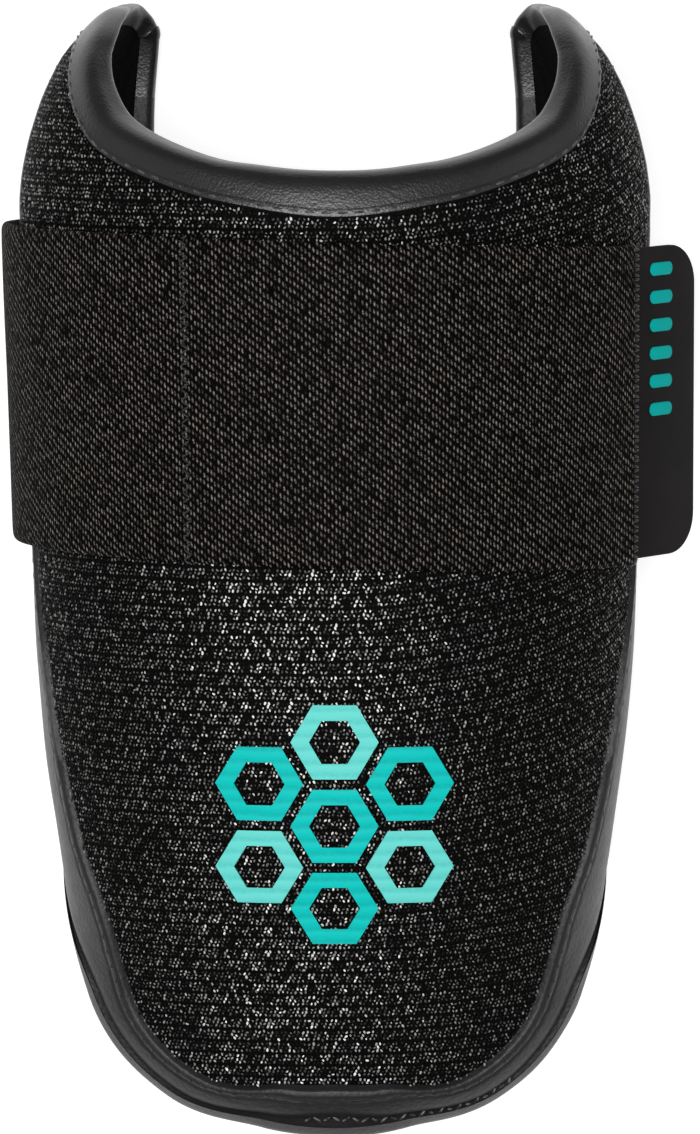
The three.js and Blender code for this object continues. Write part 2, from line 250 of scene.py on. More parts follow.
def coat(tree, mix, dark, light, height=None, strength=0.5, depth=0.1, invert=False):
    """Colour from dark to light by one pattern, and relief some mm deep by another."""
    shader = tree.nodes["Principled BSDF"]
    tone = add_node(tree, "ShaderNodeMix", {
        "Factor": mix, "A": linear(dark), "B": linear(light)}, data_type="RGBA")
    tree.links.new(tone.outputs["Result"], shader.inputs["Base Color"])
    if height is not None:
        bump = add_node(tree, "ShaderNodeBump", {
            "Height": height, "Strength": strength, "Distance": depth * MM}, invert=invert)
        tree.links.new(bump.outputs["Normal"], shader.inputs["Normal"])


def centre_line(along):
    """Turn at which the half grids of the pad and the mesh start."""
    return 0 * along


# Brushed polyester knit: matt, near black, with the fine wavy ribs of its knitting
brushed_knit, tree = new_material(
    "brushed_polyester_knit", Roughness=0.85, Specular_IOR_Level=0.05)
place = add_node(tree, "ShaderNodeUVMap", uv_map="mm").outputs["UV"]
ribs = add_node(tree, "ShaderNodeTexWave", {
    "Vector": place, "Scale": 1 / LINING_RIB / 3.2, "Distortion": 2.5, "Detail": 2.0,
    "Detail Scale": 0.4}, bands_direction="X")
pile = add_node(tree, "ShaderNodeTexNoise", {
    "Vector": place, "Scale": PILE_PER_MM, "Detail": 3.0}).outputs["Fac"]
relief = add_node(tree, "ShaderNodeMath", {0: ribs.outputs["Fac"], 1: pile}, operation="ADD")
coat(tree, pile, "#0c0b0c", LINING_COLOUR, relief.outputs[0], 0.6, 0.25)

across = np.linspace(0, 1, 49)
along, turn = both_sides(*wall_grid(across, centre_line, section["edge_turn"], 64, 24))
pad_face = form(along, turn, LINER_START + 0.1)
# The foam swells a little between the edges, where the lining is pulled down
from_edge = 1 - np.abs(np.linspace(-1, 1, along.shape[1]))
swell = np.sqrt(np.minimum(1, from_edge / PAD_SWELL["edge"]))[None, :]
lining_depth = section["wall"](along) - PAD_SWELL["low"] + PAD_SWELL["rise"] * swell
lining_face = form(along, turn, lining_depth)
pad = skin("pad_lining", pad_face, lining_face, surface_map(lining_face), brushed_knit)
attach(pad, "root")
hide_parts("padded_liner")


# Side panel. Satin polyurethane leather round both sides and the tongue's tip. Its front edge is
# folded under and topstitched to the mesh; its rear edge is caught in the rolled rim.

SKIN = 2.7
PIECE_GAP = 0.3
SIDE_COLOUR = "#252325"
GRAIN_SIZE = 0.9
MOTTLE_SIZE = 18
STITCH_PITCH = 3.2

# Relief of the panel by distance from its front seam, mm: rolled fold, stitch line, flat panel
FOLD = curve([0, 0.5, 1.4, 2.3, 2.8, 3.4, 5.5, 12],
             [1.5, 0.1, -0.32, -0.24, 0.14, -0.08, -0.03, 0])
REAR_TUCK = curve([0, 0.6, 1.6, 4, 10], [1.2, 0.35, 0.0, -0.25, 0])


def waves(first, second, length, seed):
    """Gentle irregular waves of about this length, from -1 to 1, the same on every run."""
    chance = np.random.default_rng(seed)
    total = 0
    for _ in range(7):
        heading = chance.uniform(0, 2 * np.pi)
        pitch = 2 * np.pi / (length * chance.uniform(0.6, 1.7))
        drift = pitch * (np.cos(heading) * first + np.sin(heading) * second)
        total = total + np.sin(drift + chance.uniform(0, 2 * np.pi))
    return total / 7


def leather(name, colour, dark, roughness, grain, gloss_level):
    """Calendered polyurethane leather: satin, with a fine pebbled grain and faint mottling."""
    material, tree = new_material(name, Specular_IOR_Level=gloss_level)
    place = add_node(tree, "ShaderNodeTexCoord").outputs["Object"]
    pebbles = add_node(tree, "ShaderNodeTexVoronoi", {
        "Vector": place, "Scale": 1 / (grain * MM), "Smoothness": 0.6}, feature="SMOOTH_F1")
    pores = add_node(tree, "ShaderNodeTexNoise", {
        "Vector": place, "Scale": 0.35 / (grain * MM), "Detail": 6.0, "Roughness": 0.65,
    }).outputs["Fac"]
    gloss = add_node(tree, "ShaderNodeMapRange", {
        "Value": pores, "To Min": roughness - 0.07, "To Max": roughness + 0.09})
    shader = tree.nodes["Principled BSDF"]
    tree.links.new(gloss.outputs["Result"], shader.inputs["Roughness"])
    height = add_node(tree, "ShaderNodeMath", {
        0: pebbles.outputs["Distance"], 1: pores}, operation="ADD")
    mottle = add_node(tree, "ShaderNodeTexNoise", {
        "Vector": place, "Scale": 1 / (MOTTLE_SIZE * MM), "Detail": 2.0})
    coat(tree, mottle.outputs["Fac"], dark, colour, height.outputs[0], 0.5, 0.16 * grain)
    return material


def down_and_up(along, turn):
    """Rows of one half, from the left neckline down to the tip and up to the right one."""
    return (np.vstack([along, along[-2::-1]]), np.vstack([-turn, turn[-2::-1]]))


def folded_edge(along):
    """Turn of the panel's folded edge, a narrow gap behind the mesh seam."""
    return section["seam_turn"](along) + np.degrees(PIECE_GAP / section["reach"](along))


side_leather = leather(
    "side_polyurethane_leather", SIDE_COLOUR, "#1e1c1e", 0.42, GRAIN_SIZE, 0.28)
across = np.r_[
    np.linspace(0, 0.3, 25), np.linspace(0.3, 0.85, 15)[1:], np.linspace(0.85, 1, 13)[1:]]
along, turn = down_and_up(*wall_grid(across, folded_edge, section["edge_turn"], 90, 40))
flat_panel = form(along, turn)
girth, run = run_along(flat_panel, axis=1), run_along(flat_panel[:, :1])
panel_map = np.stack([girth, np.broadcast_to(run, girth.shape)], axis=-1)
# The panel waves a little, and puckers from stitch to stitch along its fold
swells = 0.16 * waves(girth, run, 26, seed=3) * np.minimum(1, girth / 6)
pucker = 0.10 * np.exp(-((girth - 3.2) / 1.6) ** 2) * np.sin(2 * np.pi * run / STITCH_PITCH)
relief = FOLD(girth) + REAR_TUCK(girth[:, -1:] - girth) + swells + pucker
panel_face = form(along, turn, relief)
panel = skin("side_panel", panel_face, form(along, turn, SKIN), panel_map, side_leather)
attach(panel, "root")
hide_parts("side_band")


# Mesh panel. A coarse black air mesh, warp-knitted from glossy polyester in rows across the arm,
# stretched over the foam and sewn in under the side panel's fold and the neck binding.

MESH_COLOUR = "#0e0d0c"
KNIT_ROW = 2.65
KNIT_COURSE = 0.74
KNIT_LOOP = 0.88
KNIT_ARCH = 2.2
KNIT_CLUSTER = 4.4
FLECKS_PER_MM = 1.4
KNIT_BEAD = {"length": 0.72, "width": 0.42, "height": 0.3}
MESH_SINK = 0.35
STRAP_COVER = (96, 147)
MIDDLE_HALF = 16


def front_at(x, y, depth=0.0):
    """Points of the front above a place in plan: mm off the centre line, mm along the arm."""
    x, y = np.broadcast_arrays(np.asarray(x, float), np.asarray(y, float))
    below = POLE_Y - y
    round_tip = below > 0
    fan = np.where(round_tip, np.arctan2(np.abs(x), below), np.pi / 2)
    along = np.where(round_tip, TIP_ARC * (fan / (np.pi / 2) - 1), -below)
    out = np.where(round_tip, np.hypot(x, below), np.abs(x))
    turn = np.degrees(np.arcsin(np.clip(out / section["reach"](along), 0, 1)))
    turn = np.where(x < 0, -turn, turn)
    return along, turn, form(along, turn, depth)


profile_y = np.linspace(-5, 230, 1200)
profile_z = front_at(0 * profile_y, profile_y)[2][:, 2] / MM
profile_run = np.r_[0, np.cumsum(np.hypot(np.diff(profile_y), np.diff(profile_z)))]


def arch_at(y):
    """Half width and rise of the front's arch, mm along the arm."""
    station = np.maximum(0, y - POLE_Y)
    return section["reach"](station), section["crown"](station) - section["spring"](station)


def knit_map(points):
    """Millimetres across and along the knit at points of the front, as it lies on the form."""
    x, y = (points[..., i] / MM - form_shift[i] for i in (0, 1))
    reach, rise = arch_at(y)
    angle = np.arcsin(np.clip(np.abs(x) / reach, 0, 1))
    lean = angle[..., None] * (np.arange(12) + 0.5) / 12
    steps = np.hypot(reach[..., None] * np.cos(lean), rise[..., None] * np.sin(lean))
    girth = np.sign(x) * angle * np.mean(steps, axis=-1)
    return np.stack([girth, np.interp(y, profile_y, profile_run)], axis=-1)


def to_seam(along, turn):
    """Millimetres round the form from a place on the front to the mesh seam."""
    return np.radians(section["seam_turn"](along) - np.abs(turn)) * section["reach"](along)


# Black polyester mesh: the ground knit between the raised loops, dark and matt
mesh_yarn, tree = new_material(
    "black_polyester_mesh", Roughness=0.6, Specular_IOR_Level=0.02)
place = add_node(tree, "ShaderNodeUVMap", uv_map="mm").outputs["UV"]
holes = add_node(tree, "ShaderNodeTexVoronoi", {"Vector": place, "Scale": 1 / KNIT_LOOP})
flecks = add_node(tree, "ShaderNodeTexNoise", {
    "Vector": place, "Scale": FLECKS_PER_MM, "Detail": 3.0})
coat(tree, flecks.outputs["Fac"], "#030303", MESH_COLOUR,
     holes.outputs["Distance"], 0.8, 0.35, invert=True)

across = np.r_[np.linspace(0, 0.9, 37), np.linspace(0.9, 1, 13)[1:]]
along, turn = both_sides(*wall_grid(across, centre_line, section["seam_turn"], 80, 36))
# The mesh dips under the side panel's fold
mesh_face = form(along, turn, MESH_SINK + 0.9 * np.exp(-to_seam(along, turn) / 1.1))
cover = skin("mesh_panel", mesh_face, form(along, turn, SKIN), knit_map(mesh_face), mesh_yarn)
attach(cover, "root")
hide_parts("mesh_cover")


def node_group(name, inputs):
    """An empty geometry tree with named inputs, and its input and output nodes."""
    tree = bpy.data.node_groups.new(name, "GeometryNodeTree")
    tree.interface.new_socket("Geometry", in_out="INPUT", socket_type="NodeSocketGeometry")
    for label, kind in inputs.items():
        tree.interface.new_socket(label, in_out="INPUT", socket_type=kind)
    tree.interface.new_socket("Geometry", in_out="OUTPUT", socket_type="NodeSocketGeometry")
    return tree, tree.nodes.new("NodeGroupInput"), tree.nodes.new("NodeGroupOutput")


def seeds(points, edges=(), **fields):
    """A mesh of points that a geometry tree grows on, with vector or number fields."""
    mesh = bpy.data.meshes.new("seeds")
    mesh.from_pydata(np.asarray(points).reshape(-1, 3).tolist(), list(edges), [])
    for name, values in fields.items():
        values = np.asarray(values, np.float32)
        is_vector = values.ndim == 2
        field = mesh.attributes.new(name, "FLOAT_VECTOR" if is_vector else "FLOAT", "POINT")
        field.data.foreach_set("vector" if is_vector else "value", values.ravel())
    return mesh


def grow(name, ground, tree, material, **sizes):
    """What a geometry tree grows on a mesh of seeds, as a plain piece at the origin."""
    carrier = set_out(name + "_seeds", ground)
    modifier = carrier.modifiers.new(name, "NODES")
    modifier.node_group = tree
    sizes["Material"] = material
    for socket in tree.interface.items_tree:
        if socket.name in sizes:
            modifier[socket.identifier] = sizes[socket.name]
    grown = carrier.evaluated_get(bpy.context.evaluated_depsgraph_get())
    mesh = bpy.data.meshes.new_from_object(grown)
    bpy.data.objects.remove(carrier)
    bpy.data.meshes.remove(ground)
    mesh.name = name
    return set_out(name, mesh)


def unit(vectors):
    """The vectors at length one."""
    return vectors / np.linalg.norm(vectors, axis=-1, keepdims=True)


def facing(tree, ahead):
    """A turn that stands a shape out of the cloth, with its length ahead."""
    outward = add_node(tree, "GeometryNodeInputNamedAttribute", {
        "Name": "outward"}, data_type="FLOAT_VECTOR")
    return add_node(tree, "FunctionNodeAxesToRotation", {
        "Primary Axis": outward.outputs["Attribute"], "Secondary Axis": ahead,
    }, primary_axis="Z", secondary_axis="X").outputs["Rotation"]


def plant(tree, given, result, points, shape, rotation, size):
    """The end of a tree: a smooth shape on every point, in the given material."""
    copies = add_node(tree, "GeometryNodeInstanceOnPoints", {
        "Points": points, "Instance": shape.outputs["Mesh"], "Rotation": rotation, "Scale": size})
    whole = add_node(tree, "GeometryNodeRealizeInstances", {
        "Geometry": copies.outputs["Instances"]})
    smooth = add_node(tree, "GeometryNodeSetShadeSmooth", {"Geometry": whole.outputs["Geometry"]})
    coated = add_node(tree, "GeometryNodeSetMaterial", {
        "Geometry": smooth.outputs["Geometry"], "Material": given.outputs["Material"]})
    tree.links.new(coated.outputs["Geometry"], result.inputs["Geometry"])


# One yarn loop on every seed: a small bead along the yarn, flattened on the cloth
knit_tree, given, result = node_group("knit_loops", {
    "Length": "NodeSocketFloat", "Width": "NodeSocketFloat", "Height": "NodeSocketFloat",
    "Seed": "NodeSocketInt", "Material": "NodeSocketMaterial"})
chance = add_node(knit_tree, "FunctionNodeRandomValue", {
    2: 0.8, 3: 1.2, "Seed": given.outputs["Seed"]})
full = add_node(knit_tree, "GeometryNodeInputNamedAttribute", {
    "Name": "fullness"}, data_type="FLOAT")
yarn_way = add_node(knit_tree, "GeometryNodeInputNamedAttribute", {
    "Name": "yarn_way"}, data_type="FLOAT_VECTOR")
plump = add_node(knit_tree, "ShaderNodeMath", {
    0: chance.outputs[1], 1: full.outputs["Attribute"]}, operation="MULTIPLY")
bead_size = add_node(knit_tree, "ShaderNodeCombineXYZ", {
    axis: given.outputs[size] for axis, size in zip("XYZ", ("Length", "Width", "Height"))})
grown_size = add_node(knit_tree, "ShaderNodeVectorMath", {
    0: bead_size.outputs[0], "Scale": plump.outputs[0]}, operation="SCALE")
bead = add_node(knit_tree, "GeometryNodeMeshUVSphere", {"Segments": 6, "Rings": 3, "Radius": 0.5})
plant(knit_tree, given, result, given.outputs["Geometry"], bead,
      facing(knit_tree, yarn_way.outputs["Attribute"]), grown_size.outputs["Vector"])

# Raised yarn of the mesh: filament polyester, near black; each loop's colour is lightened by a
# painted glint, a painted highlight in place of the light it catches
loop_yarn, tree = new_material(
    "painted_glint_polyester", Roughness=0.4, Specular_IOR_Level=0.08)
glint = add_node(tree, "ShaderNodeAttribute", attribute_name="glint")
coat(tree, glint.outputs["Fac"], "#040404", "#eeeeea")

# Three courses of loops to a row, gathered into arches that are staggered from row to row
chance = np.random.default_rng(17)
row, loop = (part.ravel() for part in np.meshgrid(
    np.arange(-4, 96), np.arange(-112, 113), indexing="ij"))
stagger = 0.5 * (row % 2)
places = []
for course in (-1, 0, 1):
    girth = KNIT_LOOP * (loop + 0.33 * course + stagger) + chance.normal(0, 0.08, len(row))
    height = KNIT_ROW * row + KNIT_COURSE * course + chance.normal(0, 0.06, len(row))
    rising = 0.0028 * np.maximum(0, girth) ** 2 * np.clip((height - 20) / 60, 0, 1)
    arch = girth / KNIT_ARCH + stagger
    off_arch = 2 * (arch - np.round(arch))
    lean = np.radians(-48 * off_arch) + chance.normal(0, 0.3, len(row))
    cluster = girth / KNIT_CLUSTER + stagger
    gather = np.cos(np.pi * (cluster - np.round(cluster))) ** 6
    arch_top = np.cos(np.pi * off_arch / 2) ** 2
    height = height + rising - 0.25 * off_arch ** 2
    places.append(np.stack([girth, height, lean, arch_top, gather], axis=-1))
girth, height, lean, arch_top, gather = np.vstack(places).T

# Each loop's girth is carried round the front's arch to its place in plan
y = np.interp(height, profile_run, profile_y)
reach, rise = arch_at(y)
angles = np.radians(np.linspace(0, 88, 60))
arc_step = np.hypot(reach[:, None] * np.cos(angles), rise[:, None] * np.sin(angles)) * angles[1]
arcs = np.cumsum(arc_step, axis=1) - arc_step[:, :1]
reached = np.clip((arcs < np.abs(girth)[:, None]).sum(axis=1), 1, len(angles) - 1)
every = np.arange(len(girth))
before, after = arcs[every, reached - 1], arcs[every, reached]
swing = angles[reached - 1] + (np.abs(girth) - before) / (after - before) * angles[1]
x = np.sign(girth) * reach * np.sin(np.minimum(swing, angles[-1]))
along, turn, spots = front_at(x, y, MESH_SINK - 0.1)
inside = (to_seam(along, turn) > 0.9) & (neck(turn) - along > 2.6) & (np.abs(girth) < arcs[:, -1])

# A loop faces out of the cloth, a little askew, and its yarn leans along its arch
middle, right_of, above = (front_at(x + dx, y + dy, MESH_SINK)[2]
                           for dx, dy in ((0, 0), (0.4, 0), (0, 0.4)))
row_way, up_way = unit(right_of - middle), unit(above - middle)
normal = np.cross(row_way, up_way)
normal[:, :2] += chance.normal(0, 0.14, (len(x), 2))
normal = unit(normal)
yarn = unit(np.sin(lean)[:, None] * row_way + np.cos(lean)[:, None] * up_way)

# Painted glints: a random share of loops is lightened in colour as if it caught the light, more on
# the arches, and most of all in the clusters on the crown next to the strap
near_crown = np.exp(-((x + 6) / 24) ** 2)
sparkle = chance.uniform(0, 1, len(yarn)) ** 2
to_strap = np.clip((along - 15) / 75, 0, 1)
painted_arch_light = 0.12 + 0.15 * arch_top
painted_crown_light = near_crown * (0.7 + 0.5 * to_strap) * (0.36 + 1.7 * gather)
at_neck, below_strap = along > STRAP_COVER[1], along < STRAP_COVER[0]
light = np.where(at_neck, 1.5 * painted_arch_light + 0.4 * painted_crown_light, painted_arch_light + painted_crown_light)
painted_glint_level = np.clip(sparkle * light, 0, 1)
fullness = 0.85 + 0.2 * arch_top + 0.25 * gather * near_crown
parts = {"mesh_loops_left": below_strap & (x < -MIDDLE_HALF),
         "mesh_loops_middle": below_strap & (np.abs(x) <= MIDDLE_HALF),
         "mesh_loops_right": below_strap & (x > MIDDLE_HALF),
         "mesh_loops_neck": at_neck}
for name, kept in parts.items():
    here = inside & kept
    ground = seeds(spots[here], outward=normal[here], yarn_way=yarn[here],
                   fullness=fullness[here], glint=painted_glint_level[here])
    loops_piece = grow(name, ground, knit_tree, loop_yarn, Seed=7, Length=KNIT_BEAD["length"] * MM,
                       Width=KNIT_BEAD["width"] * MM, Height=KNIT_BEAD["height"] * MM)
    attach(loops_piece, "root")


# Neck binding. A soft roll of polyurethane leather round a foam core, closed over the pad's end
# along the neckline and turned down behind the raised wings, with a topstitched flange on the mesh.

NECK_ROLL = {"seat": 0.6, "height": 3.3, "proud": 0.6}
NECK_HEIGHT = curve([0, 14, 24, 35, 66, 130, 180], [6.2, 5.5, 4.8, 4.5, 4.4, 4.6, 3.3])
REAR_ROLL = {"seat": 0.4, "height": 2.8, "proud": 0.3}
RIM_HEIGHT = curve([-77, 150, 182, 200], [5, 5, 2.8, 2.8])
BINDING_COLOUR = "#211f21"
BINDING_END = 12
ROLL_SQUARENESS = 0.6
LIP = 1.1
WING_TOP = float(neck(180))
WING_LEAN = 140
# Creases by each end of the binding: mm from the end, tilt, width, depth as a share
CREASES = ((30, -5, 2.6, 0.06), (41, 4, 2.4, 0.08), (54, -5, 4, 0.05))


def rolled_edge(name, stations, material, dents):
    """A closed soft roll on the wall's end, through stations: the wall's outer and inner corner,
    the way out of its end, and the roll's seat, height and stand-proud in mm."""
    outer, inner, outward, *sizes = (np.array(part) for part in zip(*stations))
    seat, height, proud = (size[:, None, None] * MM for size in sizes)
    middle, across = (outer + inner) / 2, outer - inner
    half = np.linalg.norm(across, axis=-1)[:, None, None] / 2 + proud
    angle = np.linspace(0, np.pi, 33)
    squared = np.sign(np.cos(angle)) * np.abs(np.cos(angle)) ** ROLL_SQUARENESS
    lip = 1 - 0.5 * MM / half
    over = np.broadcast_to(np.r_[squared, -1][None, :, None], (len(half), 34, 1))
    shift = np.concatenate([over, -lip, lip, np.ones_like(lip)], axis=1) * half
    lift = seat + np.r_[np.sin(angle) ** ROLL_SQUARENESS, np.zeros(4)][None, :, None] * height
    lift = lift - np.r_[np.zeros(33), LIP, 0.1, 0.1, LIP][None, :, None] * MM
    ring_turn = np.r_[angle, np.zeros(4)][None, :]
    run = run_along(middle + 4 * MM * outward)[:, None]
    puff = 1 + (dents(run, ring_turn) * (np.sin(ring_turn) > 0.02))[:, :, None]
    points = middle[:, None] + unit(across)[:, None] * shift * puff + outward[:, None] * lift * puff
    rows, columns = points.shape[:2]
    closed = np.concatenate([points, points[:, :1]], axis=1)
    ends = [np.arange(columns)[::-1], (rows - 1) * (columns + 1) + np.arange(columns)]
    girth = np.linspace(0, 40, columns + 1)[None, :]
    uv = np.stack(np.broadcast_arrays(girth, run), axis=-1).reshape(-1, 2)
    faces = grid_faces(rows, columns + 1).tolist() + [end.tolist() for end in ends]
    return piece_from(name, closed.reshape(-1, 3), faces, uv, material)


def square_to(outward, tangent):
    """The way out, at length one and square to the edge's own run."""
    return unit(outward - tangent * (outward @ tangent) / (tangent @ tangent))


def neck_station(turn):
    """Wall corners on the neckline at a turn, and the way out of the wall's end there."""
    along = neck(turn)
    outer, inner = form(along, turn), form(along, turn, section["wall"](along))
    nearby = np.clip([turn - 0.3, turn + 0.3], -180, 180)
    tangent = np.diff(form(neck(nearby), nearby), axis=0)[0]
    outward = square_to(form(along + 1, turn) - outer, tangent)
    # Past this turn the roll leans over, so that it rounds the wing's corner in one sweep
    lean = np.radians(45) * np.clip((abs(turn) - WING_LEAN) / (180 - WING_LEAN), 0, 1) ** 2
    behind = rear_station(along, np.sign(turn))[2] if lean else outward
    return outer, inner, unit(outward * np.cos(lean) + behind * np.sin(lean))


def rear_station(along, side):
    """Wall corners on one side's rear edge, and the way out of the wall's end there."""
    turn = side * section["edge_turn"](along)
    outer, inner = form(along, turn), form(along, turn, section["wall"](along))
    nearby = np.array([along - 0.3, along + 0.3])
    tangent = np.diff(form(nearby, side * section["edge_turn"](nearby)), axis=0)[0]
    outward = outer - form(along, side * (abs(turn) - 1))
    flared = outer + unit(outer - inner) * section["flare"](along) * MM
    return flared, inner, square_to(outward, tangent)


def wing_corner(side, steps):
    """Stations that turn the roll from the neckline down the rear edge, at the wing's corner."""
    outer, inner, over = neck_station(side * 180)
    behind = rear_station(WING_TOP, side)[2]
    sizes = np.array([[NECK_ROLL[key], REAR_ROLL[key]] for key in ("seat", "height", "proud")])
    stations = []
    for share in np.linspace(0, 1, steps):
        outward = unit(over * (1 - share) + behind * share)
        stations.append((outer, inner, outward, *(sizes[:, 0] * (1 - share) + sizes[:, 1] * share)))
    return stations


def rear_edge(alongs, side):
    """Stations of the roll down one rear edge, which is fuller below the wings."""
    return [(*rear_station(along, side), REAR_ROLL["seat"], RIM_HEIGHT(along), REAR_ROLL["proud"])
            for along in alongs]


end_alongs = WING_TOP - np.linspace(0, BINDING_END, 12)[1:]
over_neck = [(*neck_station(turn), NECK_ROLL["seat"], NECK_HEIGHT(abs(turn)), NECK_ROLL["proud"])
             for turn in np.linspace(-180, 180, 241)[1:-1]]
left_end, right_end = (wing_corner(side, 14) + rear_edge(end_alongs, side) for side in (-1, 1))
binding_path = left_end[::-1] + over_neck + right_end


def binding_dents(run, ring_turn):
    """Soft dents all along, with a few pinched creases where the binding turns the wings."""
    from_end = np.minimum(run, run.max() - run)
    dents = 0.022 * waves(run, 9 * ring_turn, 24, seed=5)
    for place, tilt, width, deep in CREASES:
        off_crease = from_end - place - tilt * (ring_turn - 1.6)
        dents = dents - deep * np.exp(-(off_crease / width) ** 2)
    return dents


binding_leather = leather(
    "binding_polyurethane_leather", BINDING_COLOUR, "#191719", 0.33, 0.5, 0.5)
binding = rolled_edge("neck_roll", binding_path, binding_leather, binding_dents)
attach(binding, "root")
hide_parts("neck_binding")


# Rear rim. A slimmer roll of the same leather that closes the pad's rear edge, from the wings down
# both sides of the rear opening and round the tongue's tip.

RIM_COLOUR = "#242224"

rim_alongs = np.r_[np.linspace(WING_TOP - BINDING_END, 0, 110, endpoint=False),
                   np.linspace(0, -TIP_ARC, 50)]
rim_right, rim_left = rear_edge(rim_alongs, 1), rear_edge(rim_alongs[-2::-1], -1)
rim_leather = leather("rim_polyurethane_leather", RIM_COLOUR, "#1c1a1c", 0.42, 0.8, 0.3)
rim = rolled_edge("rear_roll", rim_left[::-1] + rim_right[::-1], rim_leather,
                  lambda run, ring_turn: 0.03 * waves(run, 9 * ring_turn, 20, seed=11))
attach(rim, "root")
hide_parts("rear_rim")


# Seams. Twisted polyester thread holds the panels: a topstitch along the side panel's fold, one on
# the neck flange, and a lighter overlock where the rim closes round the tongue's tip.

FLANGE_WIDTH = 2.3
FOLD_STITCH = 2.9
FLANGE_STITCH = 1.35

# One stitch at every pitch of a line: a bead of thread, slanted left and right by turns
sewn_tree, given, result = node_group("sewn_line", {
    "Pitch": "NodeSocketFloat", "Length": "NodeSocketFloat", "Thickness": "NodeSocketFloat",
    "Slant": "NodeSocketFloat", "Material": "NodeSocketMaterial"})
line = add_node(sewn_tree, "GeometryNodeMeshToCurve", {"Mesh": given.outputs["Geometry"]})
even = add_node(sewn_tree, "GeometryNodeResampleCurve", {
    "Curve": line.outputs["Curve"], "Length": given.outputs["Pitch"]}, mode="LENGTH")
ahead = add_node(sewn_tree, "GeometryNodeInputTangent")
number = add_node(sewn_tree, "GeometryNodeInputIndex")
odd = add_node(sewn_tree, "ShaderNodeMath", {
    0: number.outputs["Index"], 1: 2.0}, operation="MODULO")
swing = add_node(sewn_tree, "ShaderNodeMath", {
    0: odd.outputs[0], 1: -2.0, 2: 1.0}, operation="MULTIPLY_ADD")
slant = add_node(sewn_tree, "ShaderNodeMath", {
    0: swing.outputs[0], 1: given.outputs["Slant"]}, operation="MULTIPLY")
turned = add_node(sewn_tree, "ShaderNodeCombineXYZ", {"Z": slant.outputs[0]})
slanted = add_node(sewn_tree, "FunctionNodeRotateRotation", {
    "Rotation": facing(sewn_tree, ahead.outputs["Tangent"]), "Rotate By": turned.outputs[0],
}, rotation_space="LOCAL")
stitch_size = add_node(sewn_tree, "ShaderNodeCombineXYZ", {
    axis: given.outputs[size] for axis, size in zip("XYZ", ("Length", "Thickness", "Thickness"))})
stitch = add_node(sewn_tree, "GeometryNodeMeshUVSphere", {
    "Segments": 8, "Rings": 6, "Radius": 0.5})
plant(sewn_tree, given, result, even.outputs["Curve"], stitch,
      slanted.outputs["Rotation"], stitch_size.outputs[0])


def thread(name, colour):
    """Twisted polyester thread with a soft gloss; its plies are too fine to show, so they are drawn
    as broad bands, about one to a stitch, dark between them as painted shade in the grooves of the
    twist."""
    material, tree = new_material(name, Roughness=0.5, Sheen_Weight=0.2)
    place = add_node(tree, "ShaderNodeTexCoord").outputs["Object"]
    plies = add_node(tree, "ShaderNodeTexWave", {
        "Vector": place, "Scale": 0.16 / MM, "Distortion": 1.0,
    }, bands_direction="DIAGONAL").outputs["Fac"]
    coat(tree, plies, "#0b0a0a", colour, plies, 0.5, 0.08)
    return material


def sew(name, path, outward, material, pitch, length, thickness, slant=0.0):
    """A row of stitches along a path of points, facing the way the cloth faces there."""
    links = [(i, i + 1) for i in range(len(path) - 1)]
    row = grow(name, seeds(path, links, outward=outward), sewn_tree, material,
               Pitch=pitch * MM, Length=length * MM, Thickness=thickness * MM, Slant=slant)
    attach(row, "root")
    return row


def facing_out(along, turn):
    """Unit vectors out of the wall."""
    return unit(form(along, turn, -1.0) - form(along, turn, 0.0))


black_thread = thread("black_polyester_thread", "#121111")
dark_thread = thread("dark_polyester_thread", "#4a4646")
grey_thread = thread("grey_polyester_thread", "#6f6b6b")

# Topstitch in the side panel's stitch line, behind its folded edge
run_down = np.r_[np.linspace(186, 0, 300, endpoint=False), np.linspace(0, -TIP_ARC, 120)]
fold_turn = section["seam_turn"](run_down) + np.degrees(FOLD_STITCH / section["reach"](run_down))
along = np.r_[run_down, run_down[-2::-1]]
turn = np.r_[-fold_turn, fold_turn[-2::-1]]
stitch_line = form(along, turn, np.where(along > STRAP_COVER[1], 0.2, -0.06))
sew("panel_topstitch", stitch_line, facing_out(along, turn), black_thread, STITCH_PITCH, 2.3, 0.55)

# Flange of the binding, flat on the mesh below the neckline, with its own topstitch
turns = np.linspace(-98, 98, 240)
below = np.array([0.0, 0.4, 1.2, FLANGE_WIDTH - 0.4, FLANGE_WIDTH])
raised = np.array([0.5, -0.35, -0.5, -0.4, 0.4])
flange_along = neck(turns)[:, None] - below[None, :] - 0.1
flange_face, flange_seat = (form(flange_along, turns[:, None], depth)
                            for depth in (raised[None, :], 1.2))
flange = skin("neck_flange", flange_face, flange_seat, surface_map(flange_face), binding_leather)
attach(flange, "root")
along = neck(turns) - FLANGE_STITCH
sew("neck_topstitch", form(along, turns, -0.5), facing_out(along, turns), dark_thread,
    STITCH_PITCH, 2.2, 0.5)

# Overlock round the tip, where the side panel meets the rim
along = np.r_[np.linspace(-66, -TIP_ARC, 30), np.linspace(-TIP_ARC, -22, 90)[1:]]
side = np.r_[-np.ones(30), np.ones(89)]
turn = side * (section["edge_turn"](along) - 1.2)
sew("rim_overlock", form(along, turn, -0.1), facing_out(along, turn), grey_thread,
    1.9, 2.3, 0.45, slant=0.9)


# Front print. A plain cluster of hexagon rings in two teals, each ring a thin polyurethane film
# that is pressed on the mesh with heat.

PRINT_CENTRE = (0.0, 66.5)
HEXAGON = {"apart": 17.0, "outer": 8.6, "inner": 5.0}
PRINT_RISE = 0.55
PRINT_THICK = 0.3
WEAR_PER_MM = 1.2


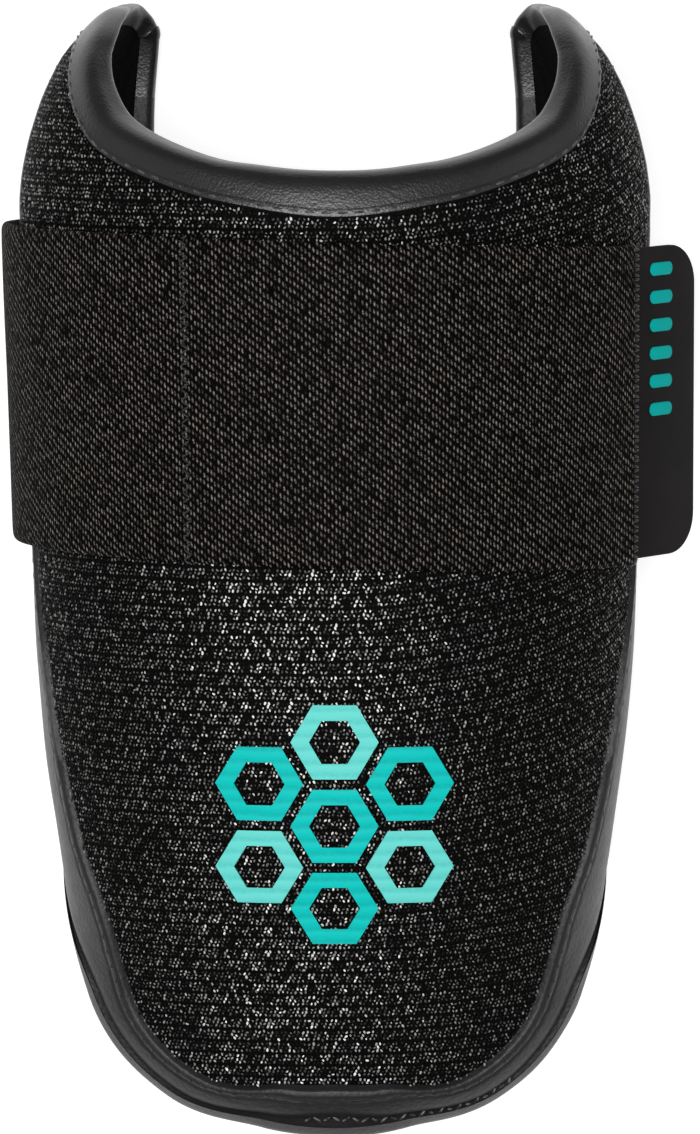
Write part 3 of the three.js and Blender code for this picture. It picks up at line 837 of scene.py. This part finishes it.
def film(name, colour, deep):
    """Heat-pressed polyurethane film: teal with a soft gloss, the knit rows showing through."""
    material, tree = new_material(name, Roughness=0.6, Specular_IOR_Level=0.15)
    place = add_node(tree, "ShaderNodeUVMap", uv_map="mm").outputs["UV"]
    rows = add_node(tree, "ShaderNodeTexWave", {
        "Vector": place, "Scale": 0.314 / KNIT_ROW, "Distortion": 1.5, "Detail": 2.0,
    }, bands_direction="Y").outputs["Fac"]
    wear = add_node(tree, "ShaderNodeTexNoise", {
        "Vector": place, "Scale": WEAR_PER_MM, "Detail": 4.0})
    worn = add_node(tree, "ShaderNodeMath", {0: rows, 1: wear.outputs["Fac"]}, operation="ADD")
    coat(tree, worn.outputs[0], deep, colour, rows, 0.6, 0.3)
    return material


def hexagon(radius, count):
    """Points round a hexagon, the first again at the end."""
    corners = np.radians(np.arange(7) * 60)
    shares = np.linspace(0, 6, 6 * count + 1)
    return radius * np.stack([np.interp(shares, range(7), np.cos(corners)),
                              np.interp(shares, range(7), np.sin(corners))], axis=-1)


deep_teal = film("deep_teal_film", "#00bab4", "#009f9a")
light_teal = film("light_teal_film", "#64cec6", "#4bbab2")
middle = np.array(PRINT_CENTRE)
petals = [middle + HEXAGON["apart"] * np.array([np.sin(a), np.cos(a)])
          for a in np.radians(np.arange(6) * 60)]
groups = (("print_light", light_teal, petals[0::2]),
          ("print_deep", deep_teal, petals[1::2] + [middle]))
bands = np.array([hexagon(radius, 10)
                  for radius in np.linspace(HEXAGON["inner"], HEXAGON["outer"], 7)])
for group, material, centres in groups:
    for number, centre in enumerate(centres):
        plan = bands + centre
        top, below = (front_at(plan[..., 0], plan[..., 1], depth)[2]
                      for depth in (-PRINT_RISE, PRINT_THICK - PRINT_RISE))
        ring = skin(f"{group}_{number}", top, below, plan, material, ring=True)
        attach(ring, "root")


# Strap. Wide woven elastic, sewn to the right side panel behind, round the back and over the front
# to its free end, which closes with hook tape and carries the pull tab.

STRAP = {"width": 63.6, "length": 325, "thickness": 2.0, "middle": 122, "tilt": -0.03}
STAND_OFF = curve([-180, -150, -90, -40, 40, 62, 90, 180],
                  [0.3, 1, 1.8, 2.5, 2.5, 2.9, 0.3, 0.3])
STRAP_SEWN_TURN, STRAP_FREE_TURN, STRAP_TAIL = 112, 58.5, 5
# Light end of the strap's floats: the colour of their painted glint
STRAP_GLINT_COLOUR = "#847d77"
FLOAT_PITCH = {"across": 0.733, "along": 1.6, "twill": -0.727}
FIBRES_PER_MM = 2.6
STRAP_ROWS = {"behind": 46, "back": 24, "front": 190, "tail": 7, "across": 41}
ZIGZAG_X = -32.4


def strap_rows(turns, across, lift):
    """Points on the strap's run round the guard, at turns from the front and mm off its middle."""
    turns, across = turns[:, None], across[None, :]
    x = form(STRAP["middle"], turns, -lift)[..., 0] / MM - form_shift[0]
    return form(STRAP["middle"] + STRAP["tilt"] * x + across, turns, -lift)


def strap_face(across, extra):
    """One face of the strap, from its sewn end to its free end; extra is its height by column."""
    behind = np.linspace(STRAP_SEWN_TURN, 180, STRAP_ROWS["behind"])
    front = np.linspace(-180, STRAP_FREE_TURN, STRAP_ROWS["front"])
    sewn = strap_rows(behind, across, STAND_OFF(behind)[:, None] + extra)
    loop = strap_rows(front, across, STAND_OFF(front)[:, None] + extra)
    share = np.linspace(0, 1, STRAP_ROWS["back"])[1:-1, None, None]
    back = sewn[-1] * (1 - share) + loop[0] * share
    last_turns = np.array([STRAP_FREE_TURN, STRAP_FREE_TURN + 1])
    leave = unit(np.diff(form(STRAP["middle"], last_turns, -STAND_OFF(STRAP_FREE_TURN)), axis=0)[0])
    square = (loop[-1, 0, 0] + loop[-1, -1, 0]) / 2
    run_on = STRAP_TAIL * MM + (square - loop[-1, :, 0]) / leave[0]
    share = np.linspace(0, 1, STRAP_ROWS["tail"])[1:, None, None]
    tail = loop[-1] + share * run_on[None, :, None] * leave
    return np.concatenate([sewn, back, loop, tail])


# Woven elastic: spun polyester floats over rubber, warm black and matt, set in a steep twill; each
# float is lightened in colour into a short upright dash with frayed fibres, a painted glint in place
# of the light the floats catch
elastic, tree = new_material(
    "woven_polyester_elastic", Roughness=0.7, Specular_IOR_Level=0.02)
place = add_node(tree, "ShaderNodeUVMap", uv_map="mm").outputs["UV"]
wander = add_node(tree, "ShaderNodeTexNoise", {"Vector": place, "Scale": 0.5, "Detail": 2.0})
loose = add_node(tree, "ShaderNodeVectorMath", {
    0: wander.outputs["Color"], 1: (0.15, 0.25, 0), 2: place}, operation="MULTIPLY_ADD")
apart = add_node(tree, "ShaderNodeSeparateXYZ", {0: loose.outputs["Vector"]}).outputs
twill = add_node(tree, "ShaderNodeMath", {
    0: apart["X"], 1: -FLOAT_PITCH["twill"], 2: apart["Y"]}, operation="MULTIPLY_ADD")
lean = add_node(tree, "ShaderNodeCombineXYZ", {"X": apart["X"], "Y": twill.outputs[0]})
pitch = add_node(tree, "ShaderNodeVectorMath", {
    0: lean.outputs[0], 1: (1 / FLOAT_PITCH["across"], 1 / FLOAT_PITCH["along"], 0),
}, operation="MULTIPLY")
floats = add_node(tree, "ShaderNodeTexVoronoi", {
    "Vector": pitch.outputs["Vector"], "Scale": 1.0, "Randomness": 0.22}, voronoi_dimensions="2D")
body = add_node(tree, "ShaderNodeMapRange", {
    "Value": floats.outputs["Distance"], "From Min": 0.4, "From Max": 0.08,
}, interpolation_type="SMOOTHSTEP").outputs["Result"]
hue = add_node(tree, "ShaderNodeSeparateXYZ", {0: floats.outputs["Color"]})
luck = add_node(tree, "ShaderNodeMath", {0: hue.outputs["X"], 1: 0.6}, operation="POWER")
whole = add_node(tree, "ShaderNodeMath", {0: luck.outputs[0], 1: body}, operation="MULTIPLY")
spun = add_node(tree, "ShaderNodeTexNoise", {
    "Vector": place, "Scale": FIBRES_PER_MM, "Detail": 0.0})
frayed = add_node(tree, "ShaderNodeMapRange", {
    "Value": spun.outputs["Fac"], "From Min": 0.35, "From Max": 0.65,
    "To Min": 0.25, "To Max": 1.3})
painted_float_glint = add_node(tree, "ShaderNodeMath", {
    0: whole.outputs[0], 1: frayed.outputs["Result"]}, operation="MULTIPLY")
coat(tree, painted_float_glint.outputs[0], "#050404", STRAP_GLINT_COLOUR, body, 0.7, 0.25)

half_width = STRAP["width"] / 2
across = half_width * np.sin(np.linspace(-1, 1, STRAP_ROWS["across"]) * np.pi / 2)
selvage = np.exp((np.abs(across) - half_width) / 0.5)
top = strap_face(across, STRAP["thickness"] - 0.7 * selvage)
under = strap_face(across, 0.5 * selvage)
middle_column = STRAP_ROWS["across"] // 2
length = run_along(top[:, middle_column])
strap_map = np.stack(np.broadcast_arrays(length[:, None], across[None, :]), axis=-1)
outward = unit(top - under)
ripple = 0.10 * MM * waves(strap_map[..., 0], strap_map[..., 1], 30, seed=21)
top = top + outward * ripple[..., None]
strap = skin("elastic_strap", top, under, strap_map, elastic)
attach(strap, "root")
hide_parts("strap")

# A dark zigzag row holds the hook tape under the front, and dense stitches bind the free end
off_zigzag = np.abs(top[:, middle_column, 0] / MM - ZIGZAG_X)
on_front = top[:, middle_column, 2] > 60 * MM
face_row = int(np.argmin(np.where(on_front, off_zigzag, np.inf)))
zigzag = sew("strap_zigzag", top[face_row, 1:-1], outward[face_row, 1:-1],
             black_thread, 1.1, 1.9, 0.4, slant=1.0)
end_stitches = sew("strap_end_stitches", top[-1, 1:-1] - outward[-1, 1:-1] * 0.4 * MM,
                   outward[-1, 1:-1], black_thread, 1.0, 2.2, 0.6, slant=1.35)


# Hook patch. A plain strip of nylon hook tape sewn under the strap's front, near its free end, where
# it grips the mesh and holds the strap closed. The strap hides it, so it keeps CAD's own shape.

HOOK_PITCH = 1.4

# Moulded nylon hook tape: dull black, dotted all over with its fine hooks
hook_nylon, tree = new_material("moulded_nylon_hook_tape", Roughness=0.6, IOR=1.53)
place = add_node(tree, "ShaderNodeTexCoord").outputs["Object"]
hooks = add_node(tree, "ShaderNodeTexVoronoi", {
    "Vector": place, "Scale": 1 / (HOOK_PITCH * MM), "Randomness": 0.35}).outputs["Distance"]
coat(tree, hooks, "#232222", "#080808", hooks, 1.0, 0.6, invert=True)
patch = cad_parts["hook_patch"]
patch.data.materials.clear()
patch.data.materials.append(hook_nylon)


# Pull tab. Matt moulded rubber, sewn under the strap's free end, with two rounded corners and a
# short row of raised teal bars for the finger.

TAB = {"width": 27, "tucked": 4, "length": 62, "corner": 8, "thickness": 1.5, "edge": 0.35}
TAB_COLOUR = "#221f1f"
PIT_SIZE, DUST_SIZE = 0.5, 14
TAB_BAR = {"count": 6, "width": 7.4, "height": 2.6, "pitch": 5.6, "rise": 0.3,
           "first": (11.2, 26.5)}

before, row = strap_face(np.array([-half_width, half_width]), np.zeros(2))[-2:]
tab_along = unit(row[1] - row[0])
tab_out = unit(np.cross(row[0] - before[0], tab_along))
tab_run = np.cross(tab_along, tab_out)
tab_end = (row[0] + row[1]) / 2 - tab_out * (TAB["thickness"] + PIECE_GAP) * MM


def tab_outline(inset):
    """Points round the tab in its own plane, mm, pulled in by an inset."""
    right = TAB["width"] - TAB["tucked"] - inset
    left = inset - TAB["tucked"]
    half, radius = TAB["length"] / 2 - inset, TAB["corner"] - inset
    quarter = np.linspace(0, np.pi / 2, 13)
    wide, tall = radius * np.sin(quarter), radius * np.cos(quarter)
    lower = np.stack([right - radius + wide, radius - half - tall], axis=-1)
    upper = np.stack([right - radius + tall, half - radius + wide], axis=-1)
    return np.vstack([[left, -half], lower, upper, [left, half]])


def on_tab(plan, height):
    """Points on the tab: its own plane's millimetres, and a height above its under face."""
    plan = np.asarray(plan, float)
    return tab_end + (plan[..., :1] * tab_run + plan[..., 1:] * tab_along + height * tab_out) * MM


def moulding(name, outlines, heights, material):
    """A closed moulding from outlines stacked at heights, capped at both ends."""
    rings = [on_tab(outline, height) for outline, height in zip(outlines, heights)]
    count = len(rings[0])
    index = np.arange(count * len(rings)).reshape(len(rings), count)
    faces = [index[0, ::-1].tolist(), index[-1].tolist()]
    for lower, upper in zip(index[:-1], index[1:]):
        faces += np.stack([lower, np.roll(lower, -1), np.roll(upper, -1), upper], axis=-1).tolist()
    return piece_from(name, np.vstack(rings), faces, np.vstack(outlines), material, crease=50)


def moulded_rubber(name, colour, dark):
    """Compression-moulded rubber: matt, with the faint pitting of its mould and a trace of dust."""
    material, tree = new_material(name, Roughness=0.7, Specular_IOR_Level=0.06)
    place = add_node(tree, "ShaderNodeTexCoord").outputs["Object"]
    pits = add_node(tree, "ShaderNodeTexNoise", {
        "Vector": place, "Scale": 1 / (PIT_SIZE * MM), "Detail": 3.0})
    dust = add_node(tree, "ShaderNodeTexNoise", {
        "Vector": place, "Scale": 1 / (DUST_SIZE * MM), "Detail": 2.0})
    coat(tree, dust.outputs["Fac"], dark, colour, pits.outputs["Fac"], 0.3, 0.08)
    return material


rubber = moulded_rubber("matt_moulded_rubber", TAB_COLOUR, "#0f0e0e")
edge, thick = TAB["edge"], TAB["thickness"]
tab = moulding("grip_tab", [tab_outline(i) for i in (edge, edge * 0.3, 0, 0, edge * 0.3, edge)],
               (0, edge * 0.3, edge, thick - edge, thick - edge * 0.3, thick), rubber)
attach(tab, "root")
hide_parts("pull_tab")

tab_teal = moulded_rubber("moulded_teal_rubber", "#00a39e", "#009994")
half_bar, round_end = TAB_BAR["width"] / 2, TAB_BAR["height"] / 2
angles = np.linspace(0, 2 * np.pi, 33)[:-1]
ring = np.stack([np.cos(angles), np.sin(angles)], axis=-1)
pill = ring * round_end + np.sign(ring[:, :1]) * np.array([half_bar - round_end, 0])
bar_top = thick + TAB_BAR["rise"]
for number in range(TAB_BAR["count"]):
    centre = np.array(TAB_BAR["first"]) - (0, TAB_BAR["pitch"] * number)
    bar = moulding(f"tab_bar_{number}", [centre + pill, centre + pill, centre + pill * 0.94],
                   (thick - 0.2, bar_top - 0.1, bar_top), tab_teal)
    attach(bar, "root")


# Studio. A plain pale floor under the guard, which lies on its back, with soft boxes overhead and
# at both sides, and a camera that looks almost straight down on the front.

FLOOR_HALF, FLOOR_DROP = 6, 0.5
WHITE = linear("#ffffff")

# Pale floor paint: matt and lit from within, so that it stays white round the guard
pale_paint = new_material("pale_floor_paint", Roughness=0.8, Base_Color=linear("#b4b4b4"),
                          Emission_Color=WHITE, Emission_Strength=0.75)[0]
mesh = bpy.data.meshes.new("studio_floor")
corners = ((-1, -1), (1, -1), (1, 1), (-1, 1))
mesh.from_pydata([(x * FLOOR_HALF, y * FLOOR_HALF, -FLOOR_DROP * MM) for x, y in corners],
                 [], [(0, 1, 2, 3)])
mesh.materials.append(pale_paint)
floor = set_out("studio_floor", mesh)

world = bpy.data.worlds.new("studio_air")
world.use_nodes = True
air = world.node_tree.nodes["Background"].inputs
air["Color"].default_value = WHITE
air["Strength"].default_value = 0.06
bpy.context.scene.world = world


def soft_box(name, place, aim, size, power):
    """A rectangular soft box that points at a place on the guard, its second side along the arm."""
    lamp = bpy.data.lights.new(name, "AREA")
    lamp.shape = "RECTANGLE"
    lamp.size, lamp.size_y = size
    lamp.energy = power
    box = set_out(name, lamp)
    back = (Vector(place) - Vector(aim)).normalized()
    side = Vector((0, 1, 0)).cross(back).normalized()
    turned = Matrix((side, back.cross(side), back)).transposed()
    box.matrix_world = Matrix.Translation(place) @ turned.to_4x4()
    box.visible_camera = False


soft_box("strip_box", (-0.1, 0.22, 1.9), (0, 0, 0.04), (1.2, 0.3), 28)
soft_box("front_box", (-0.2, -0.7, 1.7), (0, 0, 0.04), (0.5, 0.8), 10)
soft_box("left_box", (-1.35, -0.1, 0.75), (0, 0, 0.0), (0.9, 1.8), 3)
soft_box("right_box", (1.35, -0.1, 0.75), (0, 0, 0.0), (0.9, 1.8), 4)

CAMERA_TILT = 5
CAMERA_DISTANCE = 1.6
VIEW_HEIGHT = 0.2280
camera_data = bpy.data.cameras.new("front_camera")
camera_data.lens = camera_data.sensor_width * CAMERA_DISTANCE / VIEW_HEIGHT
camera = set_out("front_camera", camera_data)
tilt = np.radians(CAMERA_TILT)
aim = Vector((0.0004, 0.0002, 0.040))
camera.location = aim + CAMERA_DISTANCE * Vector((0, np.sin(tilt), np.cos(tilt)))
camera.rotation_euler = (-tilt, 0, 0)
bpy.context.scene.camera = camera
bpy.context.scene.view_settings.view_transform = "Standard"
